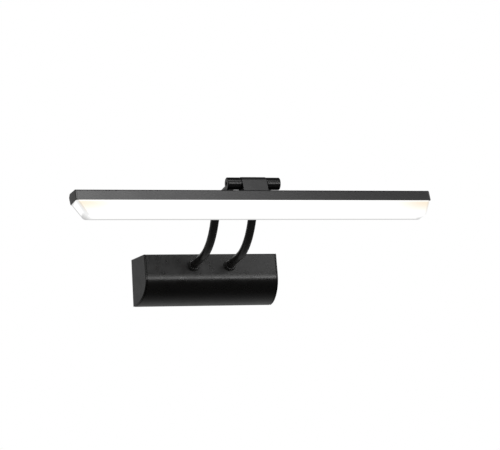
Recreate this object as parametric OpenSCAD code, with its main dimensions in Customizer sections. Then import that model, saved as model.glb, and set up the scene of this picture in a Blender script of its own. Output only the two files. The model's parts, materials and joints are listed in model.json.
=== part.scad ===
// Wall-mounted picture light: a long LED head on two curved arms above a wall box.
// Frame: X to the right, Y into the wall, Z up. The origin is on the wall plane, midway
// between the two fixing holes. "Forward" means out of the wall, along -Y.

/* [Wall box] */
// Width of the wall box where it meets the wall
box_w = 168; // [160:1:190]
// Height of the wall box
box_h = 55; // [54:0.5:60]
// Depth of the wall box at its bend line
box_depth = 45; // [44:0.5:50]
// Lean of the upper front face from upright, lower edge forward, in degrees
face_lean = 7; // [5:0.5:9]
// Narrowing of each box end per millimetre of depth
end_taper = 0.1; // [0.06:0.01:0.12]
// Wall thickness of the box cover
box_wall = 1.5; // [1.2:0.1:1.8]
// Thickness of each box end cap
box_cap_t = 2; // [1.6:0.1:2.4]

/* [Wall plate] */
// Thickness of the steel wall plate
plate_t = 1.5; // [1.2:0.1:2]
// Width of the wall plate
plate_w = 152; // [148:1:156]
// Height of the wall plate
plate_h = 46; // [44:1:48]
// Distance between the two wall fixing holes
fixing_spacing = 132; // [130:1:136]
// Radius of each wall fixing hole
fixing_r = 2.3; // [2:0.1:2.5]
// Radius of the supply cable's way through the grommet
cable_r = 4; // [3:0.5:4.5]

/* [Arms] */
// Distance between the two arms
arm_spacing = 43.3; // [42:0.1:46]
// Outer radius of an arm tube
arm_r = 4.75; // [4.5:0.05:5]
// Wall thickness of an arm tube
arm_wall = 1; // [0.8:0.1:1.4]
// Height of the arm's axis where it leaves the front face
arm_root_z = 13.8; // [12:0.1:15]
// Straight length of an arm outside the box, before its first bend
arm_straight = 39; // [34:1:42]
// Radius of the first bend, which turns the arm upwards
rise_bend_r = 73; // [68:1:76]
// Steepest angle of the arm, in degrees above forward
rise_angle = 58; // [56:1:62]
// Angle at which the arm meets the hinge barrel, in degrees above forward
arrival_angle = 6; // [4:1:8]

/* [Hinge] */
// Distance of the hinge axis from the wall
hinge_f = 209.5; // [205:0.5:214]
// Height of the hinge axis above the fixing holes
hinge_z = 78; // [76:0.5:80]
// Radius of a hinge barrel
barrel_r = 6.75; // [6.5:0.05:7]
// Length of a hinge barrel
barrel_len = 15.2; // [14.6:0.1:15.6]
// Radius of the rounded top of the hinge block
block_r = 7.2; // [6.9:0.1:7.4]
// Radius of each hollow pivot
pivot_r = 3; // [2.8:0.1:3]
// Lean of the hinge block's front face, in degrees
block_lean = 22; // [18:1:24]

/* [Head] */
// Overall length of the head
head_len = 400; // [360:10:550]
// Width of the channel's top face
top_w = 24.8; // [24:0.1:26]
// Forward reach of the top face's front edge from the hinge axis
top_front = 12.9; // [12.5:0.1:13.2]
// Depth of the channel's top face below the hinge axis
axis_drop = 9.2; // [9:0.1:10]
// Wall thickness of the channel
channel_wall = 1.4; // [1.2:0.1:1.6]
// Wall thickness of the diffuser
diffuser_wall = 1.5; // [1.2:0.1:1.8]
// Thickness of each channel end cap
head_cap_t = 2; // [1.5:0.1:2.5]
// Inward slope of the diffuser's ends per millimetre of depth
diffuser_slope = 0.5; // [0.4:0.05:0.6]
// Pitch of the LEDs along the board
led_pitch = 8.2; // [7:0.1:12]

/* [Hidden] */
$fn = 48;

seam = 0.1;              // gap left between pieces that are pressed together
thread_gap = 0.05;       // radial gap round a screw in its tapped hole
running_gap = 0.05;      // radial clearance of a turning fit

// Wall box
half_h = box_h / 2;
half_w = box_w / 2;
top_depth = box_depth - half_h * tan(face_lean);
curve_step = 6;
rim_gap = 0.2;
rim_wall = 1.5;
rim_depth = 5;

// Wall plate and its tabs
tab_x = 45;
tab_w = 14;
tab_depth = 16;
tab_top = half_h - box_wall - 0.3;
tab_screw_f = 9;
m3_r = 1.5;
m3_head_r = 2.8;
m3_head_h = 1.8;

// Wiring inside the box
wire_r = 0.9;
wire_f = 6.5;
wire_bend = 3;
terminal_x = 29;
terminal_pitch = 10;
terminal_z = [2, 14];
terminal_f = [plate_t + 0.2, 15.7];
clamp_r = 1.65;
clamp_z = [5, 11];
entry_x = 29;
entry_z = -10;
entry_hole_r = cable_r + 2.5;
earth_x = 56;
earth_z = -12;
earth_post_f = 6;
lug_t = 1;

// Driver
driver_x = [-56, 2];
driver_z = [-16, 14];
driver_f = [plate_t + 0.2, 20];
driver_wall = 1.2;
lid_t = 1.5;
ear_spots = [[-48, driver_z[1], 6], [-6, driver_z[0] - 6, 6]];
ear_w = 8;
ear_t = 2;
ear_screw_r = 1.25;
board_f = [5, 6.6];

// Arms: centres of the bends in the plane of an arm, as [forward, up]
arm_x = arm_spacing / 2;
arm_bore_r = arm_r - arm_wall;
arm_root = [box_depth - arm_root_z * tan(face_lean), arm_root_z];
rise_start = arm_root + arm_straight * [cos(face_lean), sin(face_lean)];
rise_centre = rise_start + rise_bend_r * [-sin(face_lean), cos(face_lean)];
rise_end = rise_centre + rise_bend_r * [sin(rise_angle), -cos(rise_angle)];
hinge_at = [hinge_f, hinge_z];
rise_left = hinge_z - rise_end[1] - (hinge_f - rise_end[0]) * tan(arrival_angle);
bend_share = cos(arrival_angle) - cos(rise_angle)
    - (sin(rise_angle) - sin(arrival_angle)) * tan(arrival_angle);
level_bend_r = rise_left / bend_share;
level_centre = rise_end + level_bend_r * [sin(rise_angle), -cos(rise_angle)];
arm_tail = 9;            // length of the threaded end inside the front face
arm_stop = 4.1;          // the tube ends this far short of the hinge axis
bend_parts = 14;
arm_sides = 24;
lead_sides = 8;
socket_r = arm_r + running_gap;
socket_stop = 3.9;
stack = [box_wall + seam, box_wall + 1.6, box_wall + 1.7, box_wall + 2.5, box_wall + 2.6, box_wall + 5.6];
nut_r = 14 / 2 / cos(30);
bracket_w = 64;
bracket_h = 20;
collar_r = 6.9;
collar_len = 4.4;
collar_flange = 1.2;
collar_groove = [1.6, 2.1];
collar_steps = [0.9, 0.5, 1.4];   // how far the groove, the shoulder and the nose lie inside the flange
lead_r = 1;
lead_bend = 5;
lead_lid_s = -(arm_root[0] - driver_f[1] - lid_t) / cos(face_lean) + 0.3;
lead_right_x = -5;
lead_rise = 1.2;         // straight length of the right lead over the driver's lid

// Hinge, as distances from the middle of the light along X
barrel_in = 14.7;
barrel_out = barrel_in + barrel_len;
barrel_edge = 1;         // bevel of a barrel's outer end; the inner end has half of it
block_half = 14.1;
pivot_in = 7;
pivot_out = barrel_in + 4.8;
pivot_bore_r = 1.7;
chamber = [pivot_out + 0.4, barrel_out - 3.8];
chamber_r = 2.6;
grub_r = 2;
grub_recess = 0.5;
grub_len = 3.1;
grub_socket_r = 2 / 2 / cos(30);
lead_turn = 1.9;
lead_join = 15.85;
drop_x = 4;
head_turn = 3;

// Head profile in [forward, up] from the hinge axis
top_z = -axis_drop;
front_top = [top_front, top_z];
back_top = [top_front - top_w, top_z];
back_corner = back_top + [-3.6, -4.7];
back_rim = back_corner + [5.5, -8.5];
front_rim = front_top + [4, -11.7];
front_foot = front_rim + [8.3, -17];
back_foot = back_rim + [12.9, -18.5];
head_outline = [front_top, back_top, back_corner, back_rim, back_foot, front_foot, front_rim];
rim_angle = atan2(front_rim[1] - back_rim[1], front_rim[0] - back_rim[0]);
head_half = head_len / 2;
channel_half = head_half - head_cap_t - seam;
tongue_h = 3;
tongue_t = 1.2;
tongue_root = 2;
tongue_half = head_half - 12;
tub_depth = 26;

// Light engine
board_half = head_half - 15;
board_u = [-6, 8];
tape_z = [top_z - channel_wall - 0.3, top_z - channel_wall];
board_z = [tape_z[0] - 1.2, tape_z[0]];
led_size = [2.8, 3.5, 0.8];
led_clear = 14;
led_count = floor((board_half - led_clear - 6) / led_pitch);
block_screw_x = 9.5;
block_screw_u = 1;
block_screw_head = 1.8;

// Moves every edge of a counter-clockwise outline inwards by t
function unit(v) = v / norm(v);
function inward(a, b) = let (d = unit(b - a)) [-d[1], d[0]];
function inset(p, t) = let (n = len(p)) [for (i = [0:n - 1])
    let (before = inward(p[(i + n - 1) % n], p[i]), after = inward(p[i], p[(i + 1) % n]))
    p[i] + t * (before + after) / (1 + before * after)];

// Section of the wall box, moved inwards by t; its open back runs on past the wall plane
function box_outline(t) = concat(
    [[t > 0 ? -1 : 0, half_h - t]],
    [[top_depth + t * tan(face_lean) - t / cos(face_lean), half_h - t]],
    [for (a = [0:curve_step:90]) [(box_depth - t / cos(face_lean)) * cos(a), -(half_h - t) * sin(a)]],
    [[t > 0 ? -1 : 0, -half_h + t]]);

// Side view: 2D [forward, up] becomes a section square to X
module side_view() rotate([90, 0, -90]) children();
module slab(x0, x1) side_view() translate([0, 0, -x1]) linear_extrude(x1 - x0) children();
module at_hinge() translate([0, -hinge_f, hinge_z]) children();
module both_sides() for (side = [-1, 1]) translate([side * arm_x, 0, 0]) children();

// Box and rods between limits: f is forward, x to the right, z up
module cuboid(x, f, z) translate([x[0], -f[1], z[0]]) cube([x[1] - x[0], f[1] - f[0], z[1] - z[0]]);
module rod_x(r, x0, x1) translate([x0, 0, 0]) rotate([0, 90, 0]) cylinder(r = r, h = x1 - x0);
module rod_f(r, f0, f1) translate([0, -f0, 0]) rotate([90, 0, 0]) cylinder(r = r, h = f1 - f0);
module rod_z(r, z0, z1) translate([0, 0, z0]) cylinder(r = r, h = z1 - z0);

// Quarter bend of a wire in the X-Z plane, centred on the origin, from angle a0
module wire_turn(r, bend, a0, turn = 90)
    rotate([90, 0, 0]) rotate([0, 0, a0]) rotate_extrude(angle = turn) translate([bend, 0]) circle(r);

// Everything in the arm's plane, seen from the side, at the arm's root and along its axis
module on_arm_axis() side_view() translate(arm_root) rotate([0, 0, face_lean]) rotate([0, 90, 0]) children();

// Points of an arm's centre line at x, from tail inside the box to stop short of the hinge
function in_world(x, p) = [x, -p[0], p[1]];
function along_root(s) = arm_root + s * [cos(face_lean), sin(face_lean)];
function arm_centre(x, tail, stop) = concat(
    [in_world(x, along_root(-tail))],
    [for (i = [0:bend_parts]) let (a = face_lean + (rise_angle - face_lean) * i / bend_parts)
        in_world(x, rise_centre + rise_bend_r * [sin(a), -cos(a)])],
    [for (i = [1:bend_parts]) let (a = rise_angle - (rise_angle - arrival_angle) * i / bend_parts)
        in_world(x, level_centre + level_bend_r * [-sin(a), cos(a)])],
    [in_world(x, hinge_at - stop * [cos(arrival_angle), sin(arrival_angle)])]);

// Ring of points square to a path at its point i
function heading(path, i) = let (n = len(path) - 1)
    unit((i > 0 ? unit(path[i] - path[i - 1]) : [0, 0, 0])
        + (i < n ? unit(path[i + 1] - path[i]) : [0, 0, 0]));
function ring(path, i, r, sides) =
    let (t = heading(path, i), side = unit(cross(t, [0, 0, 1])), up = cross(side, t))
    [for (k = [0:sides - 1]) path[i] + r * (cos(360 * k / sides) * up + sin(360 * k / sides) * side)];

// Round bar along a path, or a tube where it has a bore
module swept(path, r, sides, bore = 0) {
    n = len(path);
    skin = [for (i = [0:n - 1]) each ring(path, i, r, sides)];
    lining = bore > 0 ? [for (i = [0:n - 1]) each ring(path, i, bore, sides)] : [];
    function at(i, k, inner = 0) = inner * n * sides + i * sides + k % sides;
    wall = [for (i = [0:n - 2], k = [0:sides - 1]) each
        [[at(i, k), at(i + 1, k), at(i + 1, k + 1)], [at(i, k), at(i + 1, k + 1), at(i, k + 1)]]];
    inside = [for (i = [0:n - 2], k = [0:sides - 1]) each
        [[at(i, k, 1), at(i + 1, k + 1, 1), at(i + 1, k, 1)],
        [at(i, k, 1), at(i, k + 1, 1), at(i + 1, k + 1, 1)]]];
    rims = [for (k = [0:sides - 1]) each
        [[at(0, k), at(0, k + 1), at(0, k + 1, 1)], [at(0, k), at(0, k + 1, 1), at(0, k, 1)],
        [at(n - 1, k), at(n - 1, k + 1, 1), at(n - 1, k + 1)],
        [at(n - 1, k), at(n - 1, k, 1), at(n - 1, k + 1, 1)]]];
    ends = [[for (k = [0:sides - 1]) k], [for (k = [sides - 1:-1:0]) at(n - 1, k)]];
    polyhedron(concat(skin, lining), bore > 0 ? concat(wall, inside, rims) : concat(wall, ends));
}

// Region between the box's two tapered end planes, each moved inwards by inset_x
module taper_prism(inset_x) {
    back = half_w - inset_x + end_taper;
    front = half_w - inset_x - end_taper * (box_depth + 2);
    translate([0, 0, -box_h]) linear_extrude(2 * box_h)
        polygon([[-back, 1], [-front, -box_depth - 2], [front, -box_depth - 2], [back, 1]]);
}

module box_section(t) polygon(box_outline(t));

// ---- wall plate and supply ----

module wall_plate() color("silver") difference() {
    union() {
        cuboid([-plate_w / 2, plate_w / 2], [0, plate_t], [-plate_h / 2, plate_h / 2]);
        for (x = [-tab_x, tab_x]) {
            cuboid([x - tab_w / 2, x + tab_w / 2], [0, plate_t], [0, tab_top]);
            cuboid([x - tab_w / 2, x + tab_w / 2], [0, tab_depth], [tab_top - plate_t, tab_top]);
        }
    }
    for (x = [-fixing_spacing / 2, fixing_spacing / 2])
        translate([x, 0, 0]) rod_f(fixing_r, -1, plate_t + 1);
    for (x = [-tab_x, tab_x]) translate([x, -tab_screw_f, 0]) rod_z(m3_r + thread_gap, 20, half_h);
    translate([entry_x, 0, entry_z]) rod_f(entry_hole_r, -1, plate_t + 1);
    translate([earth_x, 0, earth_z]) rod_f(2 + thread_gap, -1, plate_t + 1);
    for (e = ear_spots) translate([e[0], 0, e[1] + e[2] / 2])
        rod_f(ear_screw_r + thread_gap, -1, plate_t + 1);
}

module cable_grommet() color("dimgray") translate([entry_x, 0, entry_z]) rotate([90, 0, 0])
    rotate_extrude() polygon([[cable_r, 0], [entry_hole_r - seam, 0], [entry_hole_r - seam, plate_t + seam],
        [entry_hole_r + 2, plate_t + seam], [entry_hole_r + 1.4, plate_t + 1.8], [cable_r, plate_t + 1.8]]);

module earth_post() color("gold") translate([earth_x, 0, earth_z]) difference() {
    translate([0, -plate_t - seam, 0]) rotate([90, 0, 0])
        cylinder(r = 7 / 2 / cos(30), h = earth_post_f - plate_t - 2 * seam, $fn = 6);
    rod_f(2 + thread_gap, 0, earth_post_f + 1);
}

module earth_lug() color("gold") translate([earth_x, 0, earth_z]) difference() {
    union() {
        rod_f(4, earth_post_f, earth_post_f + lug_t);
        cuboid([-9, -3], [earth_post_f, earth_post_f + lug_t], [-1.5, 1.5]);
    }
    rod_f(2 + thread_gap, earth_post_f - 1, earth_post_f + lug_t + 1);
}

module earth_screw() color("silver") translate([earth_x, 0, earth_z]) {
    rod_f(2, 0.1, earth_post_f + lug_t + seam);
    rod_f(3.8, earth_post_f + lug_t + seam, earth_post_f + lug_t + 2.6);
}

// Runs down from the terminal block and across to the lug's tail
module earth_wire() color("yellowgreen") translate([terminal_x + terminal_pitch, -wire_f, 0]) {
    rod_z(wire_r, earth_z + wire_bend, terminal_z[0] - seam);
    translate([wire_bend, 0, earth_z + wire_bend]) wire_turn(wire_r, wire_bend, 180);
    translate([0, 0, earth_z]) rod_x(wire_r, wire_bend, earth_x - 9.1 - terminal_x - terminal_pitch);
}

module terminal_spots() for (i = [-1:1]) translate([terminal_x + i * terminal_pitch, 0, 0]) children();

module terminal_block() color("white") difference() {
    cuboid([terminal_x - 15, terminal_x + 15], terminal_f, terminal_z);
    terminal_spots() {
        translate([0, -wire_f, 0]) rod_z(1.6, terminal_z[0] - 1, terminal_z[1] + 1);
        for (z = clamp_z) translate([0, 0, z]) rod_f(clamp_r + thread_gap, wire_f, terminal_f[1] + 1);
    }
}

module terminal_screws() color("silver")
    terminal_spots() for (z = clamp_z) translate([0, 0, z]) difference() {
        rod_f(clamp_r, wire_f + 2, terminal_f[1] - 1);
        cuboid([-2, 2], [terminal_f[1] - 1.8, terminal_f[1]], [-0.3, 0.3]);
    }

// Over the top of the block and down into the driver's end, at the lower entry
module live_wire() color("sienna") translate([0, -wire_f, 0]) {
    from = terminal_x - terminal_pitch;
    down = from - 7;
    translate([from, 0, 0]) rod_z(wire_r, terminal_z[1] + seam, terminal_z[1] + 1.5);
    translate([from - 3.5, 0, terminal_z[1] + 1.5]) wire_turn(wire_r, 3.5, 0, 180);
    translate([down, 0, 0]) rod_z(wire_r, -3, terminal_z[1] + 1.5);
    translate([down - wire_bend, 0, -3]) wire_turn(wire_r, wire_bend, 270);
    translate([0, 0, -3 - wire_bend]) rod_x(wire_r, driver_x[1] + seam, down - wire_bend);
}

// Higher over the block, then down into the driver's end, at the upper entry
module neutral_wire() color("steelblue") translate([0, -wire_f, 0]) {
    from = terminal_x;
    down = driver_x[1] + 3.5;
    high = 19;
    translate([from, 0, 0]) rod_z(wire_r, terminal_z[1] + seam, high);
    translate([from - wire_bend, 0, high]) wire_turn(wire_r, wire_bend, 0);
    translate([0, 0, high + wire_bend]) rod_x(wire_r, down + wire_bend, from - wire_bend);
    translate([down + wire_bend, 0, high]) wire_turn(wire_r, wire_bend, 90);
    translate([down, 0, 0]) rod_z(wire_r, 5, high);
    translate([down - wire_bend, 0, 5]) wire_turn(wire_r, wire_bend, 270);
    translate([0, 0, 5 - wire_bend]) rod_x(wire_r, driver_x[1] + seam, down - wire_bend);
}

// ---- driver ----

module driver_case() color("white") difference() {
    union() {
        cuboid(driver_x, driver_f, driver_z);
        for (e = ear_spots)
            cuboid([e[0] - ear_w / 2, e[0] + ear_w / 2], [driver_f[0], driver_f[0] + ear_t],
                [e[1], e[1] + e[2]]);
    }
    cuboid(driver_x + [driver_wall, -driver_wall], [driver_f[0] + driver_wall, driver_f[1] + 1],
        driver_z + [driver_wall, -driver_wall]);
    for (e = ear_spots) translate([e[0], 0, e[1] + e[2] / 2]) rod_f(1.4, 0, driver_f[0] + ear_t + 1);
}

module driver_lid() color("white") difference() {
    union() {
        cuboid(driver_x, [driver_f[1] + seam, driver_f[1] + lid_t], driver_z);
        cuboid(driver_x + [1.4, -1.4], [driver_f[1] - 1.5, driver_f[1] + 1], driver_z + [1.4, -1.4]);
    }
    cuboid(driver_x + [3, -3], [driver_f[1] - 2, driver_f[1]], driver_z + [3, -3]);
}

module driver_board() color("darkgreen")
    cuboid(driver_x + [1.5, -1.5], board_f, driver_z + [1.5, -1.5]);

module driver_parts() color("goldenrod") {
    foot = board_f[1] + seam;
    cuboid([-34, -16], [foot, 18], [-9, 9]);
    for (x = [-47, -8]) translate([x, 0, 2]) rod_f(4.5, foot, 17);
    cuboid([-52, -42], [foot, 11], [-13, -6]);
}

module driver_screws() color("silver") for (e = ear_spots) translate([e[0], 0, e[1] + e[2] / 2]) {
    rod_f(ear_screw_r, seam, driver_f[0] + ear_t + seam);
    rod_f(2.3, driver_f[0] + ear_t + seam, driver_f[0] + ear_t + 1.6);
}

// ---- wall box ----

module box_cover() color("dimgray") difference() {
    intersection() {
        slab(-half_w, half_w) difference() {
            box_section(0);
            box_section(box_wall);
        }
        taper_prism(box_cap_t + seam);
    }
    both_sides() on_arm_axis() translate([0, 0, -5]) cylinder(r = arm_r + seam, h = 10);
    for (x = [-tab_x, tab_x]) translate([x, -tab_screw_f, 0]) rod_z(m3_r + 0.2, tab_top, half_h + 1);
}

// Tapered end plate with a rim that pushes into the cover's end
module box_cap(side) color("dimgray") {
    inner = half_w - box_cap_t - end_taper * box_depth - rim_depth;
    mirror([side < 0 ? 1 : 0, 0, 0]) {
        difference() {
            intersection() {
                slab(inner, half_w) box_section(0);
                taper_prism(0);
            }
            taper_prism(box_cap_t);
        }
        intersection() {
            slab(inner, half_w) difference() {
                polygon([for (p = box_outline(box_wall + rim_gap)) [max(p[0], 0), p[1]]]);
                box_section(box_wall + rim_gap + rim_wall);
            }
            taper_prism(box_cap_t / 2);
        }
    }
}

module box_cap_left() box_cap(-1);
module box_cap_right() box_cap(1);

module cover_screws() color("dimgray") for (x = [-tab_x, tab_x]) translate([x, -tab_screw_f, 0]) {
    head_top = half_h + m3_head_h;
    rod_z(m3_r, tab_top - 4, half_h + seam);
    difference() {
        rod_z(m3_head_r, half_h + seam, head_top);
        for (turn = [0, 90]) rotate([0, 0, turn]) translate([-1.6, -0.3, head_top - 0.9]) cube([3.2, 0.6, 2]);
    }
}

// ---- arms ----

module arm_bracket() color("silver") difference() {
    on_arm_axis() translate([-bracket_w / 2, -bracket_h / 2, -stack[1]])
        cube([bracket_w, bracket_h, stack[1] - stack[0]]);
    both_sides() on_arm_axis() translate([0, 0, -stack[1] - 1]) cylinder(r = arm_r + seam, h = 5);
}

module arm_washers() color("silver") both_sides() on_arm_axis() translate([0, 0, -stack[3]]) difference() {
    cylinder(r = 8.5, h = stack[3] - stack[2]);
    translate([0, 0, -1]) cylinder(r = arm_r + seam, h = 4);
}

module arm_nuts() color("gold") both_sides() on_arm_axis() translate([0, 0, -stack[5]]) difference() {
    cylinder(r = nut_r, h = stack[5] - stack[4], $fn = 6);
    translate([0, 0, -1]) cylinder(r = arm_r + thread_gap, h = 6);
}

module arm_tube(x) color("dimgray") swept(arm_centre(x, arm_tail, arm_stop), arm_r, arm_sides, arm_bore_r);
module arm_left() arm_tube(-arm_x);
module arm_right() arm_tube(arm_x);

// Turned ferrule with a groove, which hides the hole in the front face
module arm_collar() color("dimgray") on_arm_axis() rotate_extrude() polygon([
    [arm_r + thread_gap, seam], [collar_r, seam], [collar_r, collar_flange],
    [collar_r - collar_steps[0], collar_groove[0]], [collar_r - collar_steps[0], collar_groove[1]],
    [collar_r - collar_steps[1], collar_groove[1] + 0.4], [collar_r - collar_steps[1], collar_len - 0.9],
    [collar_r - collar_steps[2], collar_len], [arm_r + thread_gap, collar_len]]);

module arm_collar_left() translate([-arm_x, 0, 0]) arm_collar();
module arm_collar_right() translate([arm_x, 0, 0]) arm_collar();

// A lead's path through an arm and round the barrel's chamber, up to the joint in the pivot
function lead_path(side, tail) = concat(arm_centre(side * arm_x, tail, lead_turn),
    [for (b = [22.5:22.5:90]) in_world(side * (arm_x - lead_turn * (1 - cos(b))),
        hinge_at - lead_turn * (1 - sin(b)) * [cos(arrival_angle), sin(arrival_angle)])],
    [in_world(side * lead_join, hinge_at)]);

// The right-hand lead starts beside the left one, and crosses over behind the bracket
function crossing_path() =
    let (turn = lead_lid_s + lead_rise, at = function(x, s) in_world(x, along_root(s))) concat(
    [at(lead_right_x, lead_lid_s)],
    [for (b = [0:22.5:90]) at(lead_right_x + lead_bend * (1 - cos(b)), turn + lead_bend * sin(b))],
    [for (b = [0:22.5:67.5]) at(arm_x - lead_bend * (1 - sin(b)), turn + lead_bend * (2 - cos(b)))]);

module led_lead_left() color("red") swept(lead_path(-1, -lead_lid_s), lead_r, lead_sides);
module led_lead_right() color("black")
    swept(concat(crossing_path(), lead_path(1, -lead_lid_s - lead_rise - 2 * lead_bend)), lead_r, lead_sides);

// ---- hinge ----

// Right-hand barrel: pivot bore, wire chamber, grub screw thread and the arm's socket
module barrel() color("dimgray") at_hinge() difference() {
    rotate([0, 90, 0]) rotate_extrude() polygon([[0, barrel_in], [barrel_r - barrel_edge / 2, barrel_in],
        [barrel_r, barrel_in + barrel_edge / 2], [barrel_r, barrel_out - barrel_edge],
        [barrel_r - barrel_edge, barrel_out], [0, barrel_out]]);
    rod_x(pivot_r + running_gap, barrel_in - 1, chamber[0]);
    rod_x(chamber_r, chamber[0] - 1, chamber[1]);
    rod_x(grub_r + thread_gap, chamber[1] - 1, barrel_out + 1);
    rotate([-arrival_angle, 0, 0]) translate([arm_x, 0, 0]) {
        rod_f(socket_r, -barrel_r - 1, -socket_stop);
        rod_f(2, -socket_stop - 1, 0);
    }
}

module barrel_left() mirror([1, 0, 0]) barrel();
module barrel_right() barrel();

module barrel_screws() color("black") for (side = [0, 1]) mirror([side, 0, 0]) at_hinge() difference() {
    rod_x(grub_r, barrel_out - grub_recess - grub_len, barrel_out - grub_recess);
    translate([barrel_out - grub_recess - 1.6, 0, 0]) rotate([0, 90, 0])
        cylinder(r = grub_socket_r, h = 3, $fn = 6);
}

module friction_washers() color("black") for (side = [0, 1]) mirror([side, 0, 0]) at_hinge() difference() {
    rod_x(6, block_half + seam, barrel_in - seam);
    rod_x(pivot_r + seam, block_half - 1, barrel_in + 1);
}

// Round over the hinge axis, with a leaning flat front that runs down to the channel
module block_outline() {
    circle(block_r);
    face_top = block_r * [cos(block_lean), sin(block_lean)];
    face_foot = [face_top[0] + (face_top[1] - top_z) * tan(block_lean), top_z];
    polygon([[-block_r, 0], [-block_r, top_z], face_foot, face_top]);
}

module hinge_block() color("dimgray") at_hinge() difference() {
    slab(-block_half, block_half) block_outline();
    rod_x(2.5, -pivot_in - 1, pivot_in + 1);
    for (side = [0, 1]) mirror([side, 0, 0]) {
        rod_x(pivot_r + 0.02, pivot_in, block_half + 1);
        translate([drop_x, 0, 0]) rod_z(1.5, top_z - 1, 0);
        translate([block_screw_x, -block_screw_u, 0]) rod_z(m3_r + thread_gap, top_z - 1, -3.8);
    }
}

module hinge_pivots() color("silver") for (side = [0, 1]) mirror([side, 0, 0]) at_hinge() difference() {
    rod_x(pivot_r, pivot_in + seam, pivot_out);
    rod_x(pivot_bore_r, 0, pivot_out + 1);
}

module block_screws() color("silver") for (x = [-block_screw_x, block_screw_x])
    at_hinge() translate([x, -block_screw_u, 0]) {
        rod_z(m3_r, tape_z[1] - seam, -4.2);
        rod_z(2.75, tape_z[1] - seam - block_screw_head, tape_z[1] - seam);
    }

// From the pivot's bore into the block, then down to the connector
module head_lead() at_hinge() {
    rod_x(lead_r, drop_x + head_turn, lead_join - 0.3);
    translate([drop_x + head_turn, 0, -head_turn]) wire_turn(lead_r, head_turn, 90);
    translate([drop_x, 0, 0]) rod_z(lead_r, board_z[0] + seam, -head_turn);
}

module head_lead_left() color("red") mirror([1, 0, 0]) head_lead();
module head_lead_right() color("black") head_lead();

// ---- head ----

// Half plane above or below the rim line, moved away from it by gap
module rim_side(above, gap) translate(back_rim) rotate(rim_angle)
    translate([-60, above ? gap : -120 - gap]) square([160, 120]);

module channel_section() intersection() {
    difference() {
        polygon(head_outline);
        polygon(inset(head_outline, channel_wall));
    }
    rim_side(true, 0);
}

module light_channel() color("dimgray") at_hinge() difference() {
    slab(-channel_half, channel_half) channel_section();
    for (side = [0, 1]) mirror([side, 0, 0]) {
        translate([drop_x, 0, 0]) rod_z(1.5, tape_z[1] - 2, top_z + 1);
        translate([block_screw_x, -block_screw_u, 0]) rod_z(m3_r + 0.1, tape_z[1] - 2, top_z + 1);
    }
}

// Flat end plate with a hollow plug that pushes into the channel
module channel_cap(side) color("dimgray") at_hinge() mirror([side < 0 ? 1 : 0, 0, 0]) {
    slab(head_half - head_cap_t, head_half) intersection() {
        polygon(head_outline);
        rim_side(true, 0);
    }
    slab(head_half - head_cap_t - 6, head_half - head_cap_t / 2) intersection() {
        difference() {
            polygon(inset(head_outline, channel_wall + 0.15));
            polygon(inset(head_outline, channel_wall + 1.4));
        }
        rim_side(true, 0.3);
    }
}

module channel_cap_left() channel_cap(-1);
module channel_cap_right() channel_cap(1);

module board_holes(z0, z1) for (side = [0, 1]) mirror([side, 0, 0]) {
    translate([drop_x, 0, 0]) rod_z(1.5, z0 - 1, z1 + 1);
    translate([block_screw_x, -block_screw_u, 0]) rod_z(3.2, z0 - 1, z1 + 1);
}

module board_tape() color("lightgray") at_hinge() difference() {
    cuboid([-board_half + 1, board_half - 1], board_u + [1, -1], tape_z + [0.02, -0.02]);
    board_holes(tape_z[0], tape_z[1]);
}

module led_board() color("white") at_hinge() difference() {
    cuboid([-board_half, board_half], board_u, board_z);
    board_holes(board_z[0], board_z[1]);
}

module led_chips() color("yellow") at_hinge() for (side = [-1, 1]) for (i = [0:led_count])
    translate([side * (led_clear + 2 + i * led_pitch) - led_size[0] / 2, -1 - led_size[1] / 2,
        board_z[0] - led_size[2] - 0.02]) cube(led_size);

module led_connector() color("white") at_hinge()
    cuboid([-6, 6], [-3, 4], [board_z[0] - 3.5, board_z[0] - 0.02]);

// Solid between the head's two sloping ends, each moved inwards by t
module slope_prism(t) {
    top = head_half - 0.5 - t;
    foot = top - diffuser_slope * tub_depth;
    side_view() translate(back_rim) rotate([0, 0, rim_angle]) rotate([0, 90, 0]) translate([0, 0, -60])
        linear_extrude(160)
            polygon([[-foot, -tub_depth], [foot, -tub_depth], [top, 0], [top, 6], [-top, 6], [-top, 0]]);
}

// Band of the diffuser's lip between two distances inside the outline, from low to high over the rim
module lip(outer, inner, low, high) slab(-tongue_half, tongue_half) intersection() {
    difference() {
        polygon(inset(head_outline, outer));
        polygon(inset(head_outline, inner));
    }
    translate(back_rim) rotate(rim_angle) translate([-60, low]) square([160, high - low]);
}

module diffuser() color("white") at_hinge() {
    lip_in = channel_wall + 0.15;
    difference() {
        intersection() {
            slab(-head_half, head_half) intersection() {
                polygon(head_outline);
                rim_side(false, seam);
            }
            slope_prism(0);
        }
        intersection() {
            slab(-head_half, head_half) polygon(inset(head_outline, diffuser_wall));
            slope_prism(diffuser_wall);
        }
    }
    lip(diffuser_wall / 2, lip_in + tongue_t, -tongue_root, -seam);
    lip(lip_in, lip_in + tongue_t, -tongue_root, tongue_h);
}

wall_plate();
cable_grommet();
earth_post();
earth_lug();
earth_screw();
earth_wire();
terminal_block();
terminal_screws();
live_wire();
neutral_wire();
driver_case();
driver_lid();
driver_board();
driver_parts();
driver_screws();
box_cover();
box_cap_left();
box_cap_right();
cover_screws();
arm_bracket();
arm_left();
arm_right();
arm_collar_left();
arm_collar_right();
arm_washers();
arm_nuts();
led_lead_left();
led_lead_right();
barrel_left();
barrel_right();
barrel_screws();
friction_washers();
hinge_block();
hinge_pivots();
block_screws();
head_lead_left();
head_lead_right();
light_channel();
channel_cap_left();
channel_cap_right();
board_tape();
led_board();
led_chips();
led_connector();
diffuser();
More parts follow.
